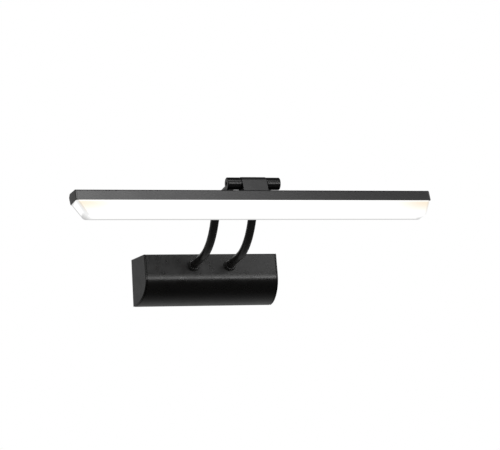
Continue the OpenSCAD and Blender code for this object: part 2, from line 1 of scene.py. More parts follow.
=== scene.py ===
"""Looks of a wall-mounted picture light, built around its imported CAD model.

Everything is in metres in the model's own frame: X to the right along the head, Y into the
wall, Z up. "Forward" means out of the wall, along -Y, and a side view is drawn in
(forward, up). Each sub-assembly is a class whose fields are its sizes.
"""

from __future__ import annotations

import json
import logging
import math
from dataclasses import dataclass, field
from enum import Enum
from typing import Iterable, Sequence

import bmesh
import bpy
from mathutils import Matrix, Vector


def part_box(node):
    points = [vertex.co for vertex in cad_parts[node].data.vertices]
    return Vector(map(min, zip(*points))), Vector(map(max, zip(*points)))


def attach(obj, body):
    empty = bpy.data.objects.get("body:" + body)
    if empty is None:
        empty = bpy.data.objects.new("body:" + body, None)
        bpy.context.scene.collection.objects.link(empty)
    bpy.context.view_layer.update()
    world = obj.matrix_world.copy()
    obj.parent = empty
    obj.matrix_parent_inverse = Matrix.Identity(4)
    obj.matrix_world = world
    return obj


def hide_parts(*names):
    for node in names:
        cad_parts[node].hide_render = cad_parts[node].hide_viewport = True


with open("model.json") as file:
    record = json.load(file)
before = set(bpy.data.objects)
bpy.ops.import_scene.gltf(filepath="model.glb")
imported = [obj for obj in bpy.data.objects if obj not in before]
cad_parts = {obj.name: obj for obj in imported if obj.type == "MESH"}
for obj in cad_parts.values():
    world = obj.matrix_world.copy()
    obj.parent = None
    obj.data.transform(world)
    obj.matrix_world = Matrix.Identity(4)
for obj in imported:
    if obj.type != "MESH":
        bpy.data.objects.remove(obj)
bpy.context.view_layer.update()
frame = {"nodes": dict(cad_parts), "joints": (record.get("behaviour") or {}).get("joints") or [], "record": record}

log = logging.getLogger("picture_light")

MM = 0.001
SENSOR_WIDTH = 36.0
SMOOTH_BELOW = math.radians(38)

Point = tuple[float, float]
Colour = tuple[float, float, float]


class Body(Enum):
    """The rigid bodies that pieces ride on."""

    BASE = "base"
    HEAD = "head"


class Side(Enum):
    """Left or right end of the light, as the sign of X."""

    LEFT = -1
    RIGHT = 1


# ---------------------------------------------------------------- finishes


class Desk:
    """A material's node tree, with short ways to add and join nodes."""

    def __init__(self, name: str) -> None:
        """Starts an empty material with a shader and an output.

        Args:
            name: The material's name.
        """
        self.material = bpy.data.materials.new(name)
        self.material.use_nodes = True
        self.tree = self.material.node_tree
        self.tree.nodes.clear()
        self.shader = self.add("ShaderNodeBsdfPrincipled")
        output = self.add("ShaderNodeOutputMaterial")
        self.join(self.shader.outputs["BSDF"], output.inputs["Surface"])
        self.place = self.add("ShaderNodeTexCoord").outputs["Object"]

    def add(self, kind: str, **settings: object) -> bpy.types.Node:
        """Adds a node.

        Args:
            kind: The node's type name.
            **settings: Properties of the node to set.

        Returns:
            The new node.
        """
        node = self.tree.nodes.new(kind)
        for key, value in settings.items():
            setattr(node, key, value)
        return node

    def join(self, source: bpy.types.NodeSocket, target: bpy.types.NodeSocket) -> None:
        """Links an output socket to an input socket."""
        self.tree.links.new(source, target)

    def stretched(self, scale: Colour) -> bpy.types.NodeSocket:
        """Gives Object coordinates stretched by a factor along each axis."""
        mapping = self.add("ShaderNodeMapping")
        mapping.inputs["Scale"].default_value = scale
        self.join(self.place, mapping.inputs["Vector"])
        return mapping.outputs["Vector"]

    def noise(self, size_mm: float, detail: float = 2.0, scale: Colour = (1, 1, 1)) -> bpy.types.NodeSocket:
        """Adds a noise pattern on the piece.

        Args:
            size_mm: Size of the pattern's blotches.
            detail: Octaves of finer noise.
            scale: Stretch of the pattern along each axis.

        Returns:
            The noise's factor socket.
        """
        texture = self.add("ShaderNodeTexNoise")
        texture.inputs["Scale"].default_value = 1 / (size_mm * MM)
        texture.inputs["Detail"].default_value = detail
        self.join(self.stretched(scale), texture.inputs["Vector"])
        return texture.outputs["Fac"]

    def ranged(self, source: bpy.types.NodeSocket, low: float, high: float,
               start: float = 0.3, stop: float = 0.7, soft: bool = False) -> bpy.types.NodeSocket:
        """Maps a value from start..stop to low..high.

        Args:
            source: The value to map.
            low: Result at start.
            high: Result at stop.
            start: Where the range begins.
            stop: Where the range ends.
            soft: Whether the ends ease in and out.

        Returns:
            The mapped value's socket.
        """
        node = self.add("ShaderNodeMapRange", interpolation_type="SMOOTHSTEP" if soft else "LINEAR")
        for name, value in (("From Min", start), ("From Max", stop), ("To Min", low), ("To Max", high)):
            node.inputs[name].default_value = value
        self.join(source, node.inputs["Value"])
        return node.outputs["Result"]

    def maths(self, kind: str, first: bpy.types.NodeSocket, second: bpy.types.NodeSocket | float = 0.0
              ) -> bpy.types.NodeSocket:
        """Adds a Math node.

        Args:
            kind: The node's operation.
            first: Its first value.
            second: Its second value, a socket or a number.

        Returns:
            The result's socket.
        """
        node = self.add("ShaderNodeMath", operation=kind)
        self.join(first, node.inputs[0])
        if isinstance(second, (int, float)):
            node.inputs[1].default_value = second
        else:
            self.join(second, node.inputs[1])
        return node.outputs["Value"]

    def blended(self, factor: bpy.types.NodeSocket, low: Colour | bpy.types.NodeSocket, high: Colour
                ) -> bpy.types.NodeSocket:
        """Mixes two colours.

        Args:
            factor: Share of the second colour.
            low: The first colour, or a socket that gives it.
            high: The second colour.

        Returns:
            The mixed colour's socket.
        """
        node = self.add("ShaderNodeMix", data_type="RGBA")
        self.join(factor, node.inputs["Factor"])
        if isinstance(low, tuple):
            node.inputs[6].default_value = (*low, 1)
        else:
            self.join(low, node.inputs[6])
        node.inputs[7].default_value = (*high, 1)
        return node.outputs[2]

    def bump(self, height: bpy.types.NodeSocket, strength: float, depth_mm: float) -> None:
        """Roughs up the shader's surface.

        Args:
            height: The height pattern.
            strength: Share of the bump that shows.
            depth_mm: Height of the pattern.
        """
        node = self.add("ShaderNodeBump")
        node.inputs["Strength"].default_value = strength
        node.inputs["Distance"].default_value = depth_mm * MM
        self.join(height, node.inputs["Height"])
        self.join(node.outputs["Normal"], self.shader.inputs["Normal"])

    def set(self, **values: object) -> None:
        """Sets constant values on the shader's sockets, with _ for a space in each name."""
        for name, value in values.items():
            self.shader.inputs[name.replace("_", " ")].default_value = value


@dataclass(frozen=True)
class Finish:
    """A surface finish, and the record's material slot that it shows.

    Attributes:
        slot: The record's material slot.
        colour: Base colour, linear.
        roughness: Middle roughness.
        spread: How far roughness strays from its middle.
        mottle: Share by which the colour strays.
        blotch_mm: Size of the colour's blotches.
        grain_mm: Size of the surface's grain.
        grain_depth_mm: Height of the grain.
        grain_strength: Share of the grain that shows.
        stretch: Stretch of every pattern along each axis.
    """

    slot: str
    colour: Colour
    roughness: float
    spread: float = 0.04
    mottle: float = 0.12
    blotch_mm: float = 14.0
    grain_mm: float = 1.3
    grain_depth_mm: float = 0.005
    grain_strength: float = 0.15
    stretch: Colour = (1.0, 1.0, 1.0)

    def material(self) -> bpy.types.Material:
        """Gives the finish's material, made the first time that it is asked for."""
        known = bpy.data.materials.get(self.slot + "_look")
        if known:
            return known
        desk = Desk(self.slot + "_look")
        self.paint(desk)
        return desk.material

    def paint(self, desk: Desk) -> None:
        """Sets up colour, roughness and grain.

        Args:
            desk: The material's node tree.
        """
        dark = tuple(c * (1 - self.mottle) for c in self.colour)
        light = tuple(c * (1 + self.mottle) for c in self.colour)
        blotches = desk.noise(self.blotch_mm, 3, self.stretch)
        desk.join(desk.blended(desk.ranged(blotches, 0, 1), dark, light), desk.shader.inputs["Base Color"])
        patches = desk.noise(self.blotch_mm * 0.6, 2, self.stretch)
        rough = desk.ranged(patches, self.roughness - self.spread, self.roughness + self.spread)
        desk.join(rough, desk.shader.inputs["Roughness"])
        desk.bump(desk.noise(self.grain_mm, 2, self.stretch), self.grain_strength, self.grain_depth_mm)


@dataclass(frozen=True)
class Paint(Finish):
    """Powder coat or paint over metal: a dark body under a thin clear skin.

    Attributes:
        specular: Strength of the skin's reflection.
    """

    specular: float = 0.5

    def paint(self, desk: Desk) -> None:
        """Adds the skin's reflection to the common set-up."""
        super().paint(desk)
        desk.set(Specular_IOR_Level=self.specular, IOR=1.5)


@dataclass(frozen=True)
class Metal(Finish):
    """Bare or plated metal."""

    def paint(self, desk: Desk) -> None:
        """Makes the common set-up metallic."""
        super().paint(desk)
        desk.set(Metallic=1.0)


@dataclass(frozen=True)
class Rubber(Finish):
    """Soft insulation or rubber, with a faint sheen of dust."""

    def paint(self, desk: Desk) -> None:
        """Adds the sheen to the common set-up."""
        super().paint(desk)
        desk.set(Sheen_Weight=0.08, Sheen_Roughness=0.5)


@dataclass(frozen=True)
class Opal(Finish):
    """Lit opal plastic: even white, a little warmer and dimmer towards the ends, with painted shade along the
    edges.

    Attributes:
        glow: Light given off, as emission strength.
        end_tint: Emission colour of the warmest spots at the ends.
        edge_shade_tint: Emission colour along the moulded edges, a painted shade for the darkening seen at grazing
            angles.
        half_length: Distance from the middle to each end.
        rim: The front rim in (forward, up).
        foot: The front foot in (forward, up).
    """

    glow: float = 1.0
    end_tint: Colour = (0.87, 0.755, 0.59)
    edge_shade_tint: Colour = (0.44, 0.44, 0.44)
    half_length: float = 0.2
    rim: Point = (0.0, 0.0)
    foot: Point = (0.0, 0.0)

    def paint(self, desk: Desk) -> None:
        """Sets the glow, which depends on the place on the front wall."""
        desk.set(Base_Color=(*self.colour, 1), Roughness=self.roughness, Emission_Strength=self.glow)
        parts = desk.add("ShaderNodeSeparateXYZ")
        desk.join(desk.place, parts.inputs["Vector"])
        along = desk.maths("ABSOLUTE", parts.outputs["X"])
        nearness = desk.ranged(along, 0, 1, self.half_length * 0.70, self.half_length * 0.99, soft=True)
        down = (Vector(self.foot) - Vector(self.rim)).normalized()
        depth = self.distance(desk, Vector((0, -down.x, down.y)))
        height = self.distance(desk, Vector((0, down.y, down.x)))
        start = desk.ranged(depth, 0.25, 1, 0.8 * MM, 2.5 * MM, soft=True)
        fade = desk.ranged(depth, 1, 0, 3 * MM, 20 * MM, soft=True)
        on_front = desk.ranged(height, 0, 1, -1.4 * MM, -0.3 * MM)
        near_end = desk.maths("MULTIPLY", nearness, on_front)
        warm = desk.maths("MULTIPLY", near_end, desk.maths("MULTIPLY", start, fade))
        lit = desk.blended(warm, (1.0, 1.0, 0.995), self.end_tint)
        # Painted shade: the glow greys along the tub's marked edges to stand in for the darkening seen at grazing
        # angles.
        edge = desk.add("ShaderNodeAttribute", attribute_name="edge")
        colour = desk.blended(edge.outputs["Fac"], lit, self.edge_shade_tint)
        desk.join(colour, desk.shader.inputs["Emission Color"])
        desk.bump(desk.noise(0.5), 0.1, 0.01)

    def distance(self, desk: Desk, way: Vector) -> bpy.types.NodeSocket:
        """Measures how far a place lies from the front rim line.

        Args:
            desk: The material's node tree.
            way: The direction to measure along.

        Returns:
            The distance's socket, in metres.
        """
        node = desk.add("ShaderNodeVectorMath", operation="DOT_PRODUCT")
        desk.join(desk.place, node.inputs[0])
        node.inputs[1].default_value = way
        return desk.maths("SUBTRACT", node.outputs["Value"], placed(0, self.rim).dot(way))


BLACK_COAT = Paint("black_coat", (0.0040, 0.0037, 0.0035), 0.30)
ARM_COAT = Paint("arm_coat", (0.0110, 0.0107, 0.0103), 0.28, blotch_mm=9)
BARREL_COAT = Paint("barrel_coat", (0.0050, 0.0050, 0.0051), 0.25, spread=0.02, blotch_mm=6, specular=0.42)
BLOCK_COAT = Paint("block_coat", (0.010, 0.0098, 0.0105), 0.42, blotch_mm=8)
CHANNEL_COAT = Paint("channel_coat", (0.010, 0.0097, 0.0104), 0.36, spread=0.012,
                     mottle=0.05, blotch_mm=40, specular=0.55)
CAP_PLASTIC = Paint("cap_plastic", (0.032, 0.0315, 0.0315), 0.44, specular=0.75)
BLACK_SCREW = Metal("black_screw", (0.035, 0.035, 0.037), 0.34, blotch_mm=2)

CARRIED: dict[str, Finish] = {
    "zinc_steel": Metal("zinc_steel", (0.60, 0.61, 0.62), 0.34, stretch=(0.08, 1, 1), mottle=0.08),
    "bare_steel": Metal("bare_steel", (0.52, 0.52, 0.53), 0.26, grain_mm=0.2),
    "brass": Metal("brass", (0.72, 0.50, 0.20), 0.28, grain_mm=0.2),
    "grommet_rubber": Rubber("grommet_rubber", (0.018, 0.018, 0.018), 0.72),
    "white_nylon": Paint("white_nylon", (0.74, 0.73, 0.70), 0.46, mottle=0.03),
    "earth_insulation": Rubber("earth_insulation", (0.22, 0.42, 0.03), 0.42, mottle=0.3, blotch_mm=3),
    "live_insulation": Rubber("live_insulation", (0.16, 0.055, 0.02), 0.40),
    "neutral_insulation": Rubber("neutral_insulation", (0.03, 0.12, 0.42), 0.40),
    "green_board": Paint("green_board", (0.015, 0.14, 0.05), 0.30, mottle=0.25, blotch_mm=3),
    "driver_parts": Paint("driver_parts", (0.48, 0.34, 0.06), 0.50, mottle=0.2, blotch_mm=4),
    "arm_coat": ARM_COAT,
    "black_screw": BLACK_SCREW,
    "slip_washer": Paint("slip_washer", (0.010, 0.010, 0.010), 0.50),
    "red_lead": Rubber("red_lead", (0.34, 0.015, 0.012), 0.46),
    "black_lead": Rubber("black_lead", (0.012, 0.012, 0.012), 0.46),
    "thermal_tape": Paint("thermal_tape", (0.50, 0.50, 0.52), 0.60, mottle=0.06),
    "white_board": Paint("white_board", (0.78, 0.78, 0.76), 0.30, mottle=0.03),
    "led_phosphor": Paint("led_phosphor", (0.85, 0.62, 0.10), 0.25, mottle=0.05),
}


# ---------------------------------------------------------------- modelling


def placed(x: float, at: Point) -> Vector:
    """Gives the frame's point for a place in a side view.

    Args:
        x: Distance to the right.
        at: The place in (forward, up).

    Returns:
        The point in the frame.
    """
    return Vector((x, -at[0], at[1]))


class Shape:
    """A mesh being modelled with bmesh operators."""

    def __init__(self) -> None:
        """Starts an empty mesh."""
        self.bm = bmesh.new()

    def line(self, points: Sequence[Vector], closed: bool = False) -> list[bmesh.types.BMEdge]:
        """Draws a line through points.

        Args:
            points: The points in order.
            closed: Whether the last point joins the first.

        Returns:
            The line's edges.
        """
        verts = [self.bm.verts.new(p) for p in points]
        pairs = list(zip(verts, verts[1:])) + ([(verts[-1], verts[0])] if closed else [])
        return [self.bm.edges.new(pair) for pair in pairs]

    def fill(self, edges: Iterable[bmesh.types.BMEdge]) -> bmesh.types.BMFace:
        """Closes a ring of edges with one face.

        Args:
            edges: The ring's edges.

        Returns:
            The new face.
        """
        made = bmesh.ops.contextual_create(self.bm, geom=list(edges))
        return made["faces"][0]

    def sweep(self, edges: Iterable[bmesh.types.BMEdge], way: Vector) -> list[bmesh.types.BMEdge]:
        """Extrudes edges straight.

        Args:
            edges: The edges to extrude.
            way: How far they go.

        Returns:
            The edges at the far end.
        """
        made = bmesh.ops.extrude_edge_only(self.bm, edges=list(edges))["geom"]
        verts = [g for g in made if isinstance(g, bmesh.types.BMVert)]
        bmesh.ops.translate(self.bm, verts=verts, vec=way)
        return [g for g in made if isinstance(g, bmesh.types.BMEdge)]

    def push(self, faces: Iterable[bmesh.types.BMFace], way: Vector) -> list[bmesh.types.BMFace]:
        """Extrudes faces straight, as one region.

        Args:
            faces: The faces to extrude.
            way: How far they go.

        Returns:
            The faces at the far end.
        """
        faces = list(faces)
        made = bmesh.ops.extrude_face_region(self.bm, geom=faces)["geom"]
        verts = [g for g in made if isinstance(g, bmesh.types.BMVert)]
        bmesh.ops.translate(self.bm, verts=verts, vec=way)
        bmesh.ops.delete(self.bm, geom=[f for f in faces if f.is_valid], context="FACES_ONLY")
        return [g for g in made if isinstance(g, bmesh.types.BMFace)]

    def slab(self, outline: Sequence[Point], x0: float, x1: float) -> None:
        """Makes a closed solid from a side view's outline.

        Args:
            outline: The outline in (forward, up).
            x0: Where the solid starts along X.
            x1: Where it ends.
        """
        ring = self.line([placed(x0, p) for p in outline], closed=True)
        far = self.sweep(ring, Vector((x1 - x0, 0, 0)))
        self.fill(ring)
        self.fill(far)

    def turned(self, profile: Sequence[Point], centre: Vector, axis: Vector, steps: int = 56) -> None:
        """Turns a profile round an axis.

        Args:
            profile: Points as (distance along the axis, radius); a radius of 0 makes a pole.
            centre: The axis's zero point.
            axis: The axis's direction.
            steps: Number of steps in the turn.
        """
        out = axis.orthogonal().normalized()
        edges = self.line([centre + axis * d + out * r for d, r in profile])
        verts = list({v for e in edges for v in e.verts})
        bmesh.ops.spin(self.bm, geom=edges + verts, cent=centre, axis=axis, dvec=Vector(),
                       angle=2 * math.pi, steps=steps, use_merge=True)
        bmesh.ops.remove_doubles(self.bm, verts=self.bm.verts, dist=1e-6)

    def rounded(self, edges: Iterable[bmesh.types.BMEdge], width: float, segments: int = 3
                ) -> list[bmesh.types.BMFace]:
        """Rounds edges.

        Args:
            edges: The edges to round.
            width: Width of the rounding on each side.
            segments: Number of strips across it.

        Returns:
            The new faces.
        """
        made = bmesh.ops.bevel(self.bm, geom=list(edges), offset=width, offset_type="OFFSET",
                               affect="EDGES", segments=segments, profile=0.5, material=-1,
                               clamp_overlap=True)
        return made["faces"]

    def edges_along(self, way: Vector, tolerance: float = 0.999) -> list[bmesh.types.BMEdge]:
        """Finds the edges that run along a direction.

        Args:
            way: The direction.
            tolerance: Least cosine of the angle to it.

        Returns:
            The edges.
        """
        unit = way.normalized()
        return [e for e in self.bm.edges
                if abs((e.verts[1].co - e.verts[0].co).normalized().dot(unit)) > tolerance]

    def sharp_edges(self, least: float = math.radians(25)) -> list[bmesh.types.BMEdge]:
        """Finds the edges where two faces meet at more than an angle."""
        return [e for e in self.bm.edges if e.is_manifold and e.calc_face_angle(0) > least]

    def solid(self) -> None:
        """Merges doubles and points every face outwards."""
        bmesh.ops.remove_doubles(self.bm, verts=self.bm.verts, dist=1e-7)
        bmesh.ops.recalc_face_normals(self.bm, faces=self.bm.faces)

    def thick(self, wall: float) -> None:
        """Gives a skin a wall on its inner side.

        Args:
            wall: Thickness of the wall.
        """
        self.solid()
        bmesh.ops.solidify(self.bm, geom=list(self.bm.faces), thickness=wall)

    def mirrored(self, side: Side) -> None:
        """Mirrors a right-hand shape to the left, where the side asks for it.

        Args:
            side: The side on which the shape belongs.
        """
        if side is Side.LEFT:
            bmesh.ops.scale(self.bm, vec=Vector((-1, 1, 1)), verts=self.bm.verts)
            bmesh.ops.reverse_faces(self.bm, faces=self.bm.faces)

    def piece(self, name: str, finish: Finish, body: Body, stands_for: Sequence[str] = ()
              ) -> bpy.types.Object:
        """Turns the mesh into a dressed piece that rides on a body.

        Args:
            name: The piece's name.
            finish: Its finish.
            body: The body that it rides on.
            stands_for: CAD nodes that it replaces.

        Returns:
            The new object.
        """
        mesh = bpy.data.meshes.new(name)
        self.bm.to_mesh(mesh)
        self.bm.free()
        mesh.shade_smooth()
        mesh.set_sharp_from_angle(angle=SMOOTH_BELOW)
        mesh.materials.append(finish.material())
        thing = bpy.data.objects.new(name, mesh)
        bpy.context.scene.collection.objects.link(thing)
        weighted = thing.modifiers.new("even_shading", "WEIGHTED_NORMAL")
        weighted.keep_sharp = True
        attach(thing, body.value)
        if stands_for:
            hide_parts(*stands_for)
        log.info("%s: %d faces on %s, for %s", name, len(mesh.polygons), body.value, ", ".join(stands_for))
        return thing


def cut(piece: bpy.types.Object, cutters: Sequence[bpy.types.Object]) -> None:
    """Cuts shapes out of a piece for good.

    Args:
        piece: The piece to cut.
        cutters: The shapes to take away, which are removed afterwards.
    """
    for cutter in cutters:
        change = piece.modifiers.new("cut", "BOOLEAN")
        change.operation = "DIFFERENCE"
        change.solver = "EXACT"
        change.object = cutter
        piece.modifiers.move(len(piece.modifiers) - 1, 0)
        with bpy.context.temp_override(object=piece, active_object=piece):
            bpy.ops.object.modifier_apply(modifier=change.name)
    for cutter in cutters:
        bpy.data.objects.remove(cutter)


def cutter(bm: bmesh.types.BMesh) -> bpy.types.Object:
    """Turns a mesh into an object that only serves to cut.

    Args:
        bm: The mesh, which is freed.

    Returns:
        The object, outside the light's pieces.
    """
    mesh = bpy.data.meshes.new("cutter")
    bm.to_mesh(mesh)
    bm.free()
    tool = bpy.data.objects.new("cutter", mesh)
    bpy.context.scene.collection.objects.link(tool)
    return tool


def cutter_rod(radius: float, start: Vector, end: Vector) -> bpy.types.Object:
    """Makes a plain rod for cutting a hole.

    Args:
        radius: The hole's radius.
        start: Middle of the rod's first end.
        end: Middle of its other end.

    Returns:
        The rod, outside the object's pieces.
    """
    way = end - start
    bm = bmesh.new()
    bmesh.ops.create_cone(bm, cap_ends=True, segments=48, radius1=radius, radius2=radius, depth=way.length,
                          matrix=Matrix.Translation((start + end) / 2)
                          @ way.to_track_quat("Z", "Y").to_matrix().to_4x4())
    return cutter(bm)


# ---------------------------------------------------------------- wall box


@dataclass
class WallBox:
    """The box on the wall: a cover with a leaning front and curved underside, two caps, two screws.

    Attributes:
        half_width: Half of the width at the wall.
        half_height: Half of the height.
        depth: Depth at the bend line.
        lean: Lean of the upper front face, in degrees.
        taper: Narrowing of each end per length of depth.
        wall: Thickness of the cover.
        cap: Thickness of each end cap.
        seam: Gap between cover and caps.
        edge: Rounding of the outer edges.
        top_edge: Rounding of the edge between the top and the front face.
        bend_reach: Height above the bend line at which the front face starts to round over.
        cap_fit: Gap between a cap's inner rim and the cover.
        rim_depth: Depth of that rim.
        rim_hollow: Depth of the hollow inside it.
        rim_wall: Thickness of the rim.
        screw_hole: Radius of a cover screw's hole.
        screw_shank: Radius of a cover screw's shank.
    """

    half_width: float
    half_height: float
    depth: float
    lean: float = 7.0
    taper: float = 0.1
    wall: float = 1.5 * MM
    cap: float = 2.0 * MM
    seam: float = 0.18 * MM
    edge: float = 0.7 * MM
    bend_reach: float = 5.0 * MM
    top_edge: float = 1.3 * MM
    cap_fit: float = 0.2 * MM
    rim_depth: float = 5 * MM
    rim_hollow: float = 4.6 * MM
    rim_wall: float = 1.3 * MM
    screw_hole: float = 1.8 * MM
    screw_shank: float = 1.5 * MM

    @classmethod
    def from_frame(cls) -> WallBox:
        """Takes the box's size from the CAD model."""
        low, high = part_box("box_cap_right")
        return cls(half_width=high.x, half_height=high.z, depth=-low.y)

    def face_at(self, height: float) -> Point:
        """Gives the point of the upper front face at a height."""
        return (self.depth - height * math.tan(math.radians(self.lean)), height)

    def section(self, steps: int = 40) -> list[Point]:
        """Draws the open section, from the wall over the top and front to the wall again.

        Args:
            steps: Steps of the curve under the bend line.

        Returns:
            The section's points.
        """
        lean = math.radians(self.lean)
        start = self.face_at(self.bend_reach)
        radius = self.bend_reach / math.sin(lean)
        deepest = start[0] + radius * (1 - math.cos(lean))
        bend = [(deepest - radius * (1 - math.cos(lean * t)), radius * math.sin(lean * t))
                for t in (1.0, 0.8, 0.6, 0.4, 0.2)]
        turns = [math.radians(90) * i / steps for i in range(steps + 1)]
        curve = [(deepest * math.cos(t), -self.half_height * math.sin(t)) for t in turns]
        return [(0.0, self.half_height), self.face_at(self.half_height), *bend, *curve]

    def sheared(self, shape: Shape, side: Side, verts: Iterable[bmesh.types.BMVert]) -> None:
        """Slants an end with the box's taper.

        Args:
            shape: The mesh.
            side: The end's side.
            verts: The vertices to move.
        """
        slant = Matrix.Identity(4)
        slant[0][1] = side.value * self.taper
        bmesh.ops.transform(shape.bm, matrix=slant, verts=list(verts))

    def cover(self) -> bpy.types.Object:
        """Makes the cover from its section, swept along X with slanted ends."""
        shape = Shape()
        half = self.half_width - self.cap - self.seam
        near = shape.line([placed(-half, p) for p in self.section()])
        far = shape.sweep(near, Vector((2 * half, 0, 0)))
        self.sheared(shape, Side.LEFT, {v for e in near for v in e.verts})
        self.sheared(shape, Side.RIGHT, {v for e in far for v in e.verts})
        shape.thick(self.wall)
        shape.solid()
        top = [e for e in shape.edges_along(Vector((1, 0, 0)))
               if e.verts[0].co.z > self.half_height - 0.2 * MM and e.verts[0].co.y < -self.depth * 0.7]
        shape.rounded(top, self.top_edge, 4)
        return shape.piece("box_cover_shell", BLACK_COAT, Body.BASE, ["box_cover"])

    def end_cap(self, side: Side) -> bpy.types.Object:
        """Makes one end cap with a rim that pushes into the cover.

        Args:
            side: The end that it closes.

        Returns:
            The cap.
        """
        shape = Shape()
        inner, outer = self.half_width - self.cap, self.half_width
        shape.slab(self.section(), inner, outer)
        self.sheared(shape, Side.RIGHT, list(shape.bm.verts))
        shape.solid()
        inside = min(shape.bm.faces, key=lambda f: f.normal.x)
        bmesh.ops.inset_region(shape.bm, faces=[inside], thickness=self.wall + self.cap_fit,
                               use_even_offset=True)
        rim = shape.push([inside], Vector((-self.rim_depth, 0, 0)))
        bmesh.ops.inset_region(shape.bm, faces=rim, thickness=self.rim_wall, use_even_offset=True)
        shape.push(rim, Vector((self.rim_hollow, 0, 0)))
        shape.solid()
        limit = outer - self.cap * 1.01 - self.taper * self.depth
        edges = [e for e in shape.sharp_edges(math.radians(40))
                 if all(v.co.x > limit and self.outside(v.co) for v in e.verts)]
        shape.rounded(edges, self.edge, 3)
        shape.mirrored(side)
        return shape.piece(f"box_cap_{side.name.lower()}_moulding", BLACK_COAT, Body.BASE,
                           [f"box_cap_{side.name.lower()}"])

    def outside(self, at: Vector) -> bool:
        """Tells whether a point lies on the box's outline, and not on a cap's inner rim."""
        forward, up = -at.y, at.z
        if up > 0:
            return up > self.half_height - 0.2 * MM or forward > self.face_at(up)[0] - 0.6 * MM
        return math.hypot(forward / self.depth, up / self.half_height) > 0.985

    @staticmethod
    def screw_places() -> tuple[list[Vector], float]:
        """Finds the cover screws in the CAD model.

        Returns:
            The point under each screw at height 0, and the radius of a head.
        """
        low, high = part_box("cover_screws")
        radius = (high.y - low.y) / 2
        return [Vector((x, (low.y + high.y) / 2, 0)) for x in (low.x + radius, high.x - radius)], radius

    def screws(self) -> bpy.types.Object:
        """Makes the two pan-head cover screws on the top."""
        shape = Shape()
        low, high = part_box("cover_screws")
        places, radius = self.screw_places()
        shank, base = self.screw_shank, self.half_height + 0.1 * MM
        top = high.z
        profile = [(low.z, 0), (low.z, shank), (base, shank), (base, radius), (top - 0.9 * MM, radius),
                   (top - 0.3 * MM, radius * 0.82), (top, radius * 0.5), (top, 0)]
        for centre in places:
            shape.turned(profile, centre, Vector((0, 0, 1)), 32)
        shape.solid()
        screws = shape.piece("cover_screw_pair", BLACK_SCREW, Body.BASE, ["cover_screws"])
        cut(screws, [self.cross_bar(Vector((at.x, at.y, high.z)), turn)
                     for at in places for turn in (0, math.pi / 2)])
        return screws

    @staticmethod
    def cross_bar(at: Vector, turn: float) -> bpy.types.Object:
        """Makes one bar of a screw's cross recess, for cutting.

        Args:
            at: Middle of the screw's top.
            turn: The bar's turn about the screw.

        Returns:
            The bar.
        """
        bm = bmesh.new()
        size = Matrix.Diagonal((3.2 * MM, 0.7 * MM, 1.6 * MM, 1))
        bmesh.ops.create_cube(bm, size=1,
                              matrix=Matrix.Translation(at) @ Matrix.Rotation(turn, 4, "Z") @ size)
        return cutter(bm)

    def build(self, arms: Arms) -> None:
        """Makes every piece of the box, with the arms' holes in the cover.

        Args:
            arms: The arms, which pass through the front face.
        """
        cover = self.cover()
        reach = 4 * MM
        holes = [cutter_rod(self.screw_hole, Vector((at.x, at.y, self.half_height - reach)),
                            Vector((at.x, at.y, self.half_height + reach)))
                 for at in self.screw_places()[0]]
        for side in Side:
            start, end = (placed(side.value * arms.spread, arms.root_at(s)) for s in (-6 * MM, 6 * MM))
            holes.append(cutter_rod(arms.radius + 0.1 * MM, start, end))
        cut(cover, holes)
        for side in Side:
            self.end_cap(side)
        self.screws()


# ---------------------------------------------------------------- arms


